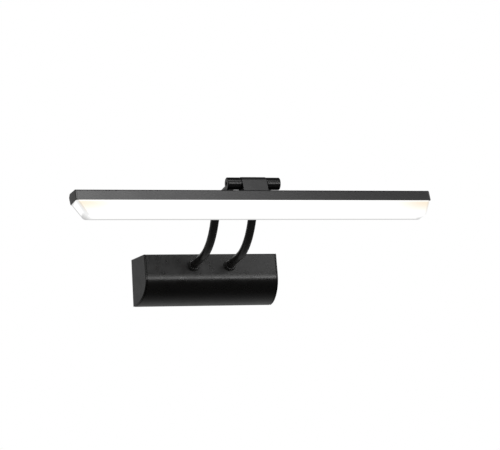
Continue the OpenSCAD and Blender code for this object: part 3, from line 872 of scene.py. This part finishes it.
@dataclass
class Arms:
    """Two tubes that leave the box's front face, rise, and level out into the hinge barrels.

    Attributes:
        hinge: The hinge axis in (forward, up).
        spread: Distance of each arm from the middle.
        radius: Outer radius of a tube.
        root: Where a tube's axis crosses the front face, in (forward, up).
        root_angle: Angle of the tube at the root, in degrees.
        wall: Wall thickness of a tube.
        straight: Straight length before the first bend.
        rise_radius: Radius of the first bend.
        rise_angle: Steepest angle, in degrees.
        arrival_angle: Angle at the hinge, in degrees.
        tail: Length inside the front face.
        stop: Distance from the tube's end to the hinge axis.
        root_height: Height of the root above the box's middle.
    """

    hinge: Point
    spread: float
    radius: float
    root: Point
    root_angle: float
    wall: float = 1.0 * MM
    straight: float = 39 * MM
    rise_radius: float = 73 * MM
    rise_angle: float = 58.0
    arrival_angle: float = 6.0
    tail: float = 9 * MM
    stop: float = 4.1 * MM
    root_height: float = 13.8 * MM

    @classmethod
    def from_frame(cls, box: WallBox) -> Arms:
        """Takes the arms' size from the CAD model.

        Args:
            box: The wall box that they leave.

        Returns:
            The arms.
        """
        low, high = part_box("arm_right")
        joint = frame["joints"][0]["pos_m"]
        return cls(hinge=(-joint[1], joint[2]), spread=(low.x + high.x) / 2, radius=(high.x - low.x) / 2,
                   root=box.face_at(cls.root_height), root_angle=box.lean)

    def root_at(self, distance: float) -> Point:
        """Gives the point of a tube's axis at a distance outside the front face."""
        angle = math.radians(self.root_angle)
        return (self.root[0] + distance * math.cos(angle), self.root[1] + distance * math.sin(angle))

    def level_radius(self, rise_end: Point) -> float:
        """Works out the second bend's radius, so that the tube ends on the hinge axis.

        Args:
            rise_end: Where the first bend ends.

        Returns:
            The radius.
        """
        steep, flat = math.radians(self.rise_angle), math.radians(self.arrival_angle)
        left = self.hinge[1] - rise_end[1] - (self.hinge[0] - rise_end[0]) * math.tan(flat)
        return left / (math.cos(flat) - math.cos(steep) - (math.sin(steep) - math.sin(flat)) * math.tan(flat))

    def tube(self, side: Side, steps: int = 30, sides: int = 40) -> bpy.types.Object:
        """Makes one arm: a ring swept straight, spun through both bends, and swept to the barrel.

        Args:
            side: The arm's side.
            steps: Steps of each bend.
            sides: Sides of the ring.

        Returns:
            The tube.
        """
        shape = Shape()
        x = side.value * self.spread
        angles = (self.root_angle, self.rise_angle, self.arrival_angle)
        start_angle, steep, flat = (math.radians(a) for a in angles)
        ahead = placed(0, (math.cos(start_angle), math.sin(start_angle)))
        start = placed(x, self.root_at(-self.tail))
        turn = ahead.to_track_quat("Z", "X").to_matrix().to_4x4()
        bmesh.ops.create_circle(shape.bm, cap_ends=False, segments=sides, radius=self.radius,
                                matrix=Matrix.Translation(start) @ turn)
        loop = shape.sweep(list(shape.bm.edges), ahead * (self.tail + self.straight))
        corner = self.root_at(self.straight)
        centre = (corner[0] - self.rise_radius * math.sin(start_angle),
                  corner[1] + self.rise_radius * math.cos(start_angle))
        loop = self.bend(shape, loop, placed(x, centre), start_angle - steep, steps)
        rise_end = (centre[0] + self.rise_radius * math.sin(steep),
                    centre[1] - self.rise_radius * math.cos(steep))
        second = self.level_radius(rise_end)
        centre = (rise_end[0] + second * math.sin(steep), rise_end[1] - second * math.cos(steep))
        loop = self.bend(shape, loop, placed(x, centre), steep - flat, steps)
        level_start = Vector((centre[0] - second * math.sin(flat), centre[1] + second * math.cos(flat)))
        run = (Vector(self.hinge) - level_start).length - self.stop
        shape.sweep(loop, placed(0, (math.cos(flat), math.sin(flat))) * run)
        shape.thick(self.wall)
        shape.solid()
        return shape.piece(f"arm_{side.name.lower()}_tube", ARM_COAT, Body.BASE, [f"arm_{side.name.lower()}"])

    @staticmethod
    def bend(shape: Shape, loop: list[bmesh.types.BMEdge], centre: Vector, angle: float, steps: int
             ) -> list[bmesh.types.BMEdge]:
        """Spins the end of a tube round a bend's centre.

        Args:
            shape: The mesh.
            loop: The edges of the tube's open end.
            centre: Centre of the bend.
            angle: Turn about X, in radians.
            steps: Steps of the bend.

        Returns:
            The edges of the new open end.
        """
        verts = list({v for e in loop for v in e.verts})
        made = bmesh.ops.spin(shape.bm, geom=loop + verts, cent=centre, axis=Vector((1, 0, 0)), dvec=Vector(),
                              angle=angle, steps=steps, use_duplicate=False)
        return [g for g in made["geom_last"] if isinstance(g, bmesh.types.BMEdge)]

    def collar(self, side: Side) -> bpy.types.Object:
        """Makes the turned collar at the front face.

        Args:
            side: The arm's side.

        Returns:
            The collar.
        """
        low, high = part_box(f"arm_collar_{side.name.lower()}")
        outer = (high.x - low.x) / 2
        bore = self.radius + 0.05 * MM
        angle = math.radians(self.root_angle)
        axis = placed(0, (math.cos(angle), math.sin(angle)))
        profile = [(0.1, bore), (0.1, outer - 0.3 * MM), (0.25, outer - 0.08 * MM), (0.45, outer),
                   (0.9, outer), (1.15, outer - 0.1 * MM), (1.3, outer - 0.4 * MM), (1.6, outer - 0.9 * MM),
                   (2.1, outer - 0.9 * MM), (2.4, outer - 0.55 * MM), (3.5, outer - 0.5 * MM),
                   (4.1, outer - 0.8 * MM), (4.4, outer - 1.4 * MM), (4.4, bore + 0.35 * MM), (3.9, bore),
                   (0.1, bore)]
        shape = Shape()
        shape.turned([(d * MM, r) for d, r in profile], placed(side.value * self.spread, self.root), axis, 56)
        shape.solid()
        return shape.piece(f"arm_collar_{side.name.lower()}_ring", ARM_COAT, Body.BASE,
                           [f"arm_collar_{side.name.lower()}"])

    def build(self) -> None:
        """Makes both tubes and both collars."""
        for side in Side:
            self.tube(side)
            self.collar(side)


# ---------------------------------------------------------------- hinge


@dataclass
class Hinge:
    """Two barrels on the arms, their grub screws, and the block between them.

    Attributes:
        axis: A point of the hinge axis, in the middle of the light.
        barrel_radius: Radius of a barrel.
        inner: Distance from the middle to a barrel's inner end.
        outer: Distance from the middle to its outer end.
        block_half: Half of the block's width.
        block_radius: Radius of the block's rounded top.
        block_drop: Distance from the axis down to the block's foot.
        block_lean: Lean of the block's front face, in degrees.
    """

    axis: Vector
    barrel_radius: float
    inner: float
    outer: float
    block_half: float
    block_drop: float
    block_radius: float = 7.2 * MM
    block_lean: float = 22.0

    @classmethod
    def from_frame(cls) -> Hinge:
        """Takes the hinge's size from the CAD model."""
        low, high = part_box("barrel_right")
        block_low, block_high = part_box("hinge_block")
        axis = Vector(frame["joints"][0]["pos_m"])
        return cls(axis=Vector((0, axis.y, axis.z)), barrel_radius=(high.z - low.z) / 2, inner=low.x,
                   outer=high.x, block_half=block_high.x, block_drop=axis.z - block_low.z)

    def barrel(self, side: Side) -> bpy.types.Object:
        """Turns one barrel with rounded rims and an open screw hole.

        Args:
            side: The barrel's side.

        Returns:
            The barrel.
        """
        r, rim = self.barrel_radius, 1.0 * MM
        hole, bore = 2.05 * MM, 3.05 * MM
        start, end = self.inner, self.outer
        profile = [(start, bore), (start, r - rim * 0.4), (start + rim * 0.12, r - rim * 0.12),
                   (start + rim * 0.4, r), (end - rim, r), (end - rim * 0.6, r - rim * 0.08),
                   (end - rim * 0.3, r - rim * 0.3), (end - rim * 0.08, r - rim * 0.6), (end, r - rim),
                   (end, hole + 0.25 * MM), (end - 0.25 * MM, hole), (end - 3.8 * MM, hole),
                   (end - 3.8 * MM, bore), (start, bore)]
        shape = Shape()
        shape.turned(profile, self.axis, Vector((1, 0, 0)), 64)
        shape.solid()
        shape.mirrored(side)
        return shape.piece(f"barrel_{side.name.lower()}_turning", BARREL_COAT, Body.BASE,
                           [f"barrel_{side.name.lower()}"])

    def grub_screws(self) -> bpy.types.Object:
        """Makes the two grub screws with hexagon sockets."""
        low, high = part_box("barrel_screws")
        radius = (high.z - low.z) / 2
        shape = Shape()
        for side in Side:
            outer = side.value * high.x
            way = Vector((-side.value, 0, 0))
            centre = Vector((outer, self.axis.y, self.axis.z))
            turn = way.to_track_quat("Z", "Y").to_matrix().to_4x4()
            made = bmesh.ops.create_circle(shape.bm, cap_ends=True, segments=36, radius=radius,
                                           matrix=Matrix.Translation(centre) @ turn)
            face = made["verts"][0].link_faces[0]
            shape.push([face], way * 3.1 * MM)
            ring = {e for v in made["verts"] if v.is_valid for e in v.link_edges
                    if all(abs(w.co.x - outer) < 1e-6 for w in e.verts)}
            rim = shape.fill(ring)
            sockets = bmesh.ops.create_circle(shape.bm, cap_ends=True, segments=6, radius=1.15 * MM,
                                              matrix=Matrix.Translation(centre) @ turn)
            hexagon = sockets["verts"][0].link_faces[0]
            inner_edges = list(hexagon.edges)
            shape.push([hexagon], way * 1.6 * MM)
            outer_edges = list(rim.edges)
            bmesh.ops.delete(shape.bm, geom=[rim], context="FACES_ONLY")
            bmesh.ops.bridge_loops(shape.bm, edges=outer_edges + [e for e in inner_edges if e.is_valid])
        shape.solid()
        return shape.piece("barrel_grub_screws", BLACK_SCREW, Body.BASE, ["barrel_screws"])

    def block_outline(self, steps: int = 24) -> list[Point]:
        """Draws the block's side view: round over the axis, flat in front, square at the back.

        Args:
            steps: Steps of the round top.

        Returns:
            The outline in (forward, up).
        """
        lean = math.radians(self.block_lean)
        r, middle = self.block_radius, (-self.axis.y, self.axis.z)
        turns = [lean + (math.pi - lean) * i / steps for i in range(steps + 1)]
        top = [(middle[0] + r * math.cos(t), middle[1] + r * math.sin(t)) for t in turns]
        foot = middle[1] - self.block_drop
        front = middle[0] + r * math.cos(lean) + (r * math.sin(lean) + self.block_drop) * math.tan(lean)
        return [*top, (middle[0] - r, foot), (front, foot)]

    def block(self) -> bpy.types.Object:
        """Makes the block, with softened edges."""
        shape = Shape()
        shape.slab(self.block_outline(), -self.block_half, self.block_half)
        shape.solid()
        foot = self.axis.z - self.block_drop
        edges = [e for e in shape.sharp_edges(math.radians(40))
                 if max(v.co.z for v in e.verts) > foot + 1 * MM]
        shape.rounded(edges, 0.55 * MM, 3)
        return shape.piece("hinge_block_casting", BLOCK_COAT, Body.HEAD, ["hinge_block"])

    def build(self) -> None:
        """Makes the hinge's visible pieces."""
        for side in Side:
            self.barrel(side)
        self.grub_screws()
        self.block()


# ---------------------------------------------------------------- head


@dataclass
class Head:
    """The light head: channel, two end caps and the opal diffuser.

    Attributes:
        axis: The hinge axis in (forward, up), from which the outline is measured.
        half_length: Half of the overall length.
        drop: Distance from the axis down to the top face.
        top_front: Forward reach of the top face's front edge.
        top_width: Width of the top face.
        wall: Thickness of the channel.
        shell: Thickness of the diffuser.
        cap: Thickness of each end cap.
        seam: Gap between channel and caps.
        slope: Inward slope of the diffuser's ends per depth.
        edge: Rounding of the channel's outer edges.
        edge_shade_fade: Width over which the painted shade on the diffuser's edges fades into its flats.
        corner: Step from the top face's back edge to the corner below it, in (forward, up).
        rim_back: Step from that corner to the back rim.
        rim_front: Step from the top face's front edge to the front rim.
        foot_front: Step from the front rim to the diffuser's front foot.
        foot_back: Step from the back rim to its back foot.
        outline: Corners of the side view, worked out from the steps.
        cap_fit: Gap between a cap's plug and the channel.
        plug_depth: Depth of that plug.
        plug_hollow: Depth of the hollow inside it.
        plug_wall: Thickness of the plug's wall.
        tub_edge: Rounding of the diffuser's edges.
    """

    axis: Point
    half_length: float
    drop: float
    top_front: float = 12.9 * MM
    top_width: float = 24.8 * MM
    wall: float = 1.4 * MM
    shell: float = 1.5 * MM
    cap: float = 2.0 * MM
    seam: float = 0.2 * MM
    slope: float = 0.5
    edge: float = 1.5 * MM
    edge_shade_fade: float = 6.0 * MM
    corner: Point = (-3.6 * MM, -4.7 * MM)
    rim_back: Point = (5.5 * MM, -8.5 * MM)
    rim_front: Point = (4.0 * MM, -11.7 * MM)
    foot_front: Point = (8.3 * MM, -17.0 * MM)
    foot_back: Point = (12.9 * MM, -18.5 * MM)
    outline: dict[str, Point] = field(init=False)
    cap_fit: float = 0.2 * MM
    plug_depth: float = 6 * MM
    plug_hollow: float = 5.4 * MM
    plug_wall: float = 1.2 * MM
    tub_edge: float = 3.2 * MM

    def __post_init__(self) -> None:
        """Works out the corners of the head's side view."""
        def step(start: Point, by: Point) -> Point:
            """Adds an offset to a corner."""
            return (start[0] + by[0], start[1] + by[1])

        front_top = (self.axis[0] + self.top_front, self.axis[1] - self.drop)
        back_top = (front_top[0] - self.top_width, front_top[1])
        back_corner = step(back_top, self.corner)
        back_rim = step(back_corner, self.rim_back)
        front_rim = step(front_top, self.rim_front)
        self.outline = {"front_top": front_top, "back_top": back_top, "back_corner": back_corner,
                        "back_rim": back_rim, "back_foot": step(back_rim, self.foot_back),
                        "front_foot": step(front_rim, self.foot_front), "front_rim": front_rim}

    @classmethod
    def from_frame(cls) -> Head:
        """Takes the head's size from the CAD model."""
        joint = frame["joints"][0]["pos_m"]
        low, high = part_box("light_channel")
        return cls(axis=(-joint[1], joint[2]), half_length=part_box("channel_cap_right")[1].x,
                   drop=joint[2] - high.z)

    @property
    def rim_angle(self) -> float:
        """Slope of the rim line in the side view, in radians."""
        back, front = self.outline["back_rim"], self.outline["front_rim"]
        return math.atan2(front[1] - back[1], front[0] - back[0])

    def upper(self) -> list[Point]:
        """Gives the channel's corners, from the front rim over the top to the back rim."""
        return [self.outline[n] for n in ("front_rim", "front_top", "back_top", "back_corner", "back_rim")]

    def channel(self) -> bpy.types.Object:
        """Makes the extruded channel, open below."""
        shape = Shape()
        half = self.half_length - self.cap - self.seam
        near = shape.line([placed(-half, p) for p in self.upper()])
        shape.sweep(near, Vector((2 * half, 0, 0)))
        shape.thick(self.wall)
        shape.solid()
        long_edges = [e for e in shape.edges_along(Vector((1, 0, 0))) if e.is_manifold
                      and e.calc_face_angle_signed(0) > math.radians(15)]
        rims = [e for e in long_edges if e.verts[0].co.z < self.outline["back_corner"][1] - 2 * MM]
        shape.rounded([e for e in long_edges if e not in rims], self.edge, 4)
        shape.rounded([e for e in rims if e.is_valid], 0.3 * MM, 2)
        return shape.piece("light_channel_extrusion", CHANNEL_COAT, Body.HEAD, ["light_channel"])

    def end_cap(self, side: Side) -> bpy.types.Object:
        """Makes one moulded end cap with its plug.

        Args:
            side: The end that it closes.

        Returns:
            The cap.
        """
        shape = Shape()
        inner, outer = self.half_length - self.cap, self.half_length
        shape.slab(self.upper(), inner, outer)
        shape.solid()
        inside = min(shape.bm.faces, key=lambda f: f.normal.x)
        bmesh.ops.inset_region(shape.bm, faces=[inside], thickness=self.wall + self.cap_fit,
                               use_even_offset=True)
        plug = shape.push([inside], Vector((-self.plug_depth, 0, 0)))
        bmesh.ops.inset_region(shape.bm, faces=plug, thickness=self.plug_wall, use_even_offset=True)
        shape.push(plug, Vector((self.plug_hollow, 0, 0)))
        shape.solid()
        edges = [e for e in shape.sharp_edges() if all(v.co.x > outer - 1e-6 for v in e.verts)]
        edges += [e for e in shape.edges_along(Vector((1, 0, 0)))
                  if any(v.co.x > outer - 1e-6 for v in e.verts)]
        shape.rounded(edges, self.edge * 0.8, 3)
        shape.mirrored(side)
        return shape.piece(f"channel_cap_{side.name.lower()}_moulding", CAP_PLASTIC, Body.HEAD,
                           [f"channel_cap_{side.name.lower()}"])

    def diffuser(self) -> bpy.types.Object:
        """Makes the opal tub: a rim pushed down to a smaller foot, rounded, and given its wall."""
        finish = Opal("opal_acrylic", (0.10, 0.10, 0.098), 0.35, half_length=self.half_length,
                      rim=self.outline["front_rim"], foot=self.outline["front_foot"])
        shape = Shape()
        half = self.half_length - 0.5 * MM
        rim = [placed(x, self.outline[n]) for x, n in
               ((-half, "back_rim"), (half, "back_rim"), (half, "front_rim"), (-half, "front_rim"))]
        ring = shape.line(rim, closed=True)
        shape.sweep(ring, Vector((0, 0, -10 * MM)))
        lowest = sorted(shape.bm.verts, key=lambda v: v.co.z)[:4]
        for vert in lowest:
            self.to_foot(vert, half)
        floor = shape.fill([e for e in shape.bm.edges if all(v in lowest for v in e.verts)])
        shape.solid()
        ends = [e for e in shape.bm.edges
                if not e.is_boundary and abs(e.verts[0].co.x - e.verts[1].co.x) < 20 * MM]
        long_edges = [e for e in floor.edges if abs(e.verts[0].co.x - e.verts[1].co.x) > 20 * MM]
        self.mark_painted_edge_shade(shape, shape.rounded(ends + long_edges, self.tub_edge, 6))
        shape.thick(self.shell)
        shape.solid()
        return shape.piece("diffuser_tub", finish, Body.HEAD, ["diffuser"])

    def to_foot(self, vert: bmesh.types.BMVert, half: float) -> None:
        """Moves a vertex of the pushed-down rim to its corner of the foot.

        Args:
            vert: The vertex.
            half: Half of the rim's length.
        """
        side = 1 if vert.co.x > 0 else -1
        middle = (self.outline["front_rim"][0] + self.outline["back_rim"][0]) / 2
        name = "front" if -vert.co.y > middle else "back"
        foot, rim = self.outline[name + "_foot"], self.outline[name + "_rim"]
        down = Vector((math.sin(self.rim_angle), -math.cos(self.rim_angle)))
        depth = (Vector(foot) - Vector(rim)).dot(down)
        vert.co = placed(side * (half - self.slope * depth), foot)

    def mark_painted_edge_shade(self, shape: Shape, strips: Iterable[bmesh.types.BMFace]) -> None:
        """Marks the tub's rounded back and end edges with painted shade, a grey band that stands in for the
        darkening seen at grazing angles; these edges are also where the light has the most plastic to cross.

        Args:
            shape: The tub's skin.
            strips: The faces of the rounded edges.
        """
        # Painted shade: this layer sets how far the glow greys along the rounded edges.
        layer = shape.bm.verts.layers.float.new("edge")
        strips = set(strips)
        marked = {v for f in strips for v in f.verts}
        for least, most, share in ((0.0, 0.3, 1.0), (0.3, 1.0, 0.5)):
            flats = [f for f in shape.bm.faces
                     if f not in strips and abs(f.normal.y) < 0.6 and least <= abs(f.normal.x) < most]
            bmesh.ops.inset_individual(shape.bm, faces=flats, thickness=self.edge_shade_fade * share,
                                       use_even_offset=True)
        back, front = (sum(self.outline[f"{n}_{m}"][0] for m in ("rim", "foot")) / 2
                       for n in ("back", "front"))
        shape.bm.normal_update()
        for vert in marked:
            if -vert.co.y < (back + front) / 2:
                vert[layer] = 1.0
            elif abs(vert.normal.x) > 0.2:
                vert[layer] = 0.3

    def build(self) -> None:
        """Makes the head's visible pieces."""
        self.channel()
        for side in Side:
            self.end_cap(side)
        self.diffuser()


# ---------------------------------------------------------------- carried-over nodes


@dataclass
class Interior:
    """The CAD nodes that are shown as they are, each in the finish of its slot.

    Attributes:
        record: The model's record, which names each node's slot.
    """

    record: dict

    def build(self) -> None:
        """Dresses every CAD node that no piece replaces."""
        slots = {row["node"]: row["material_slot"] for row in self.record["subparts"]}
        for name, thing in sorted(frame["nodes"].items()):
            finish = CARRIED.get(slots[name])
            if finish is None or thing.hide_render:
                continue
            for holder in thing.material_slots:
                holder.material = finish.material()
            log.info("%s: CAD node in %s", name, finish.slot)


# ---------------------------------------------------------------- studio


@dataclass
class Studio:
    """Pale floor, white surroundings, soft light and the camera.

    Attributes:
        eye: The camera's place.
        yaw: Turn of the view to the right, in degrees.
        pitch: Tilt of the view upwards, in degrees.
        roll: Roll of the camera, in degrees.
        lens: Focal length for the sensor's width, in millimetres.
        floor_height: Height of the floor.
        room_ahead: Brightness of the room in front, as (height of a direction, brightness).
        room_behind: Brightness of the room behind.
        lamps: Soft lights, as (name, place, width, height, watts).
    """

    eye: Vector = field(default_factory=lambda: Vector((-0.6741, -2.2402, -0.3111)))
    yaw: float = 18.22
    pitch: float = 9.14
    roll: float = -3.1
    lens: float = 145.0
    floor_height: float = -1.7
    room_ahead: Sequence[Point] = ((-1.0, 0.03), (-0.35, 0.02), (-0.05, 0.06), (0.12, 0.17), (0.4, 0.20),
                                   (0.68, 0.20), (0.85, 0.03), (1.0, 0.02))
    room_behind: Sequence[Point] = ((-1.0, 0.12), (-0.75, 0.26), (-0.35, 0.34), (0.0, 0.30), (0.30, 0.45),
                                    (0.65, 0.25), (0.85, 0.04), (1.0, 0.02))
    lamps: Sequence[tuple] = (("key_softbox", (0.05, -1.8, 1.9), 1.05, 0.9, 23),
                              ("strip_softbox", (0.85, -1.85, 0.14), 1.7, 0.34, 11),
                              ("right_softbox", (1.0, -1.5, 0.66), 0.7, 0.5, 4))

    def camera(self) -> None:
        """Makes the camera and puts it in place."""
        yaw, pitch, roll = (math.radians(a) for a in (self.yaw, self.pitch, self.roll))
        ahead = Vector((math.sin(yaw) * math.cos(pitch), math.cos(yaw) * math.cos(pitch), math.sin(pitch)))
        level = Vector((math.cos(yaw), -math.sin(yaw), 0))
        upright = level.cross(ahead)
        right = level * math.cos(roll) + upright * math.sin(roll)
        up = upright * math.cos(roll) - level * math.sin(roll)
        data = bpy.data.cameras.new("camera")
        data.lens = self.lens
        data.sensor_width = SENSOR_WIDTH
        data.clip_start, data.clip_end = 0.05, 50.0
        camera = bpy.data.objects.new("camera", data)
        turn = Matrix((right, up, -ahead)).transposed()
        camera.matrix_world = Matrix.Translation(self.eye) @ turn.to_4x4()
        bpy.context.scene.collection.objects.link(camera)
        bpy.context.scene.camera = camera

    def floor(self) -> None:
        """Makes the pale floor, far enough below for the light to be seen from beneath."""
        bm = bmesh.new()
        bmesh.ops.create_grid(bm, x_segments=1, y_segments=1, size=6.0,
                              matrix=Matrix.Translation((0, 0, self.floor_height)))
        mesh = bpy.data.meshes.new("floor")
        bm.to_mesh(mesh)
        bm.free()
        desk = Desk("floor_look")
        desk.set(Roughness=0.85, Emission_Color=(1, 1, 0.99, 1), Emission_Strength=0.45)
        shade = desk.ranged(desk.noise(400), 0, 1)
        colour = desk.blended(shade, (0.82, 0.82, 0.81), (0.86, 0.86, 0.855))
        desk.join(colour, desk.shader.inputs["Base Color"])
        mesh.materials.append(desk.material)
        floor = bpy.data.objects.new("floor", mesh)
        floor.visible_glossy = False
        bpy.context.scene.collection.objects.link(floor)

    def surroundings(self) -> None:
        """Makes the surround: white to the eye, and a soft room with a dark ceiling to the surfaces."""
        world = bpy.data.worlds.new("surround")
        world.use_nodes = True
        tree = world.node_tree
        tree.nodes.clear()
        add, join = tree.nodes.new, tree.links.new
        parts = add("ShaderNodeSeparateXYZ")
        join(add("ShaderNodeTexCoord").outputs["Generated"], parts.inputs["Vector"])
        ahead = self.profile(tree, parts.outputs["Z"], self.room_ahead)
        behind = self.profile(tree, parts.outputs["Z"], self.room_behind)
        share = add("ShaderNodeMapRange")
        share.inputs["From Min"].default_value = 0.1
        share.inputs["From Max"].default_value = 0.8
        join(parts.outputs["Y"], share.inputs["Value"])
        both = add("ShaderNodeMix")
        both.data_type = "RGBA"
        join(share.outputs["Result"], both.inputs["Factor"])
        join(ahead, both.inputs[6])
        join(behind, both.inputs[7])
        lit, white = add("ShaderNodeBackground"), add("ShaderNodeBackground")
        join(both.outputs[2], lit.inputs["Color"])
        white.inputs["Color"].default_value = (1, 1, 1, 1)
        mix = add("ShaderNodeMixShader")
        join(add("ShaderNodeLightPath").outputs["Is Camera Ray"], mix.inputs["Fac"])
        join(lit.outputs["Background"], mix.inputs[1])
        join(white.outputs["Background"], mix.inputs[2])
        join(mix.outputs["Shader"], add("ShaderNodeOutputWorld").inputs["Surface"])
        bpy.context.scene.world = world

    @staticmethod
    def profile(tree: bpy.types.NodeTree, height: bpy.types.NodeSocket, stops: Sequence[Point]
                ) -> bpy.types.NodeSocket:
        """Adds a brightness that follows the height of a direction.

        Args:
            tree: The world's node tree.
            height: The direction's height, from -1 to 1.
            stops: Pairs of height and brightness, lowest first.

        Returns:
            The brightness as a colour socket.
        """
        share = tree.nodes.new("ShaderNodeMapRange")
        share.inputs["From Min"].default_value = -1.0
        tree.links.new(height, share.inputs["Value"])
        ramp = tree.nodes.new("ShaderNodeValToRGB")
        while len(ramp.color_ramp.elements) < len(stops):
            ramp.color_ramp.elements.new(1.0)
        for element, (at, value) in zip(ramp.color_ramp.elements, stops):
            element.position = (at + 1) / 2
            element.color = (value, value, value, 1)
        tree.links.new(share.outputs["Result"], ramp.inputs["Fac"])
        return ramp.outputs["Color"]

    @staticmethod
    def softbox(name: str, at: Vector, width: float, height: float, power: float) -> None:
        """Hangs a soft light that faces the piece.

        Args:
            name: The light's name.
            at: Its place.
            width: Its width.
            height: Its height.
            power: Its power, in watts.
        """
        data = bpy.data.lights.new(name, "AREA")
        data.shape = "RECTANGLE"
        data.size, data.size_y = width, height
        data.energy = power
        lamp = bpy.data.objects.new(name, data)
        lamp.location = at
        lamp.rotation_euler = (-at).to_track_quat("-Z", "Y").to_euler()
        lamp.visible_camera = False
        bpy.context.scene.collection.objects.link(lamp)

    def build(self) -> None:
        """Sets up the whole studio."""
        self.camera()
        self.floor()
        self.surroundings()
        for name, at, width, height, power in self.lamps:
            self.softbox(name, Vector(at), width, height, power)
        bpy.context.scene.view_settings.view_transform = "Standard"


def main() -> None:
    """Builds the studio and every sub-assembly."""
    logging.basicConfig(level=logging.INFO, format="%(name)s: %(message)s")
    Studio().build()
    box = WallBox.from_frame()
    arms = Arms.from_frame(box)
    box.build(arms)
    arms.build()
    Hinge.from_frame().build()
    Head.from_frame().build()
    Interior(frame["record"]).build()


if __name__ == "__main__":
    main()
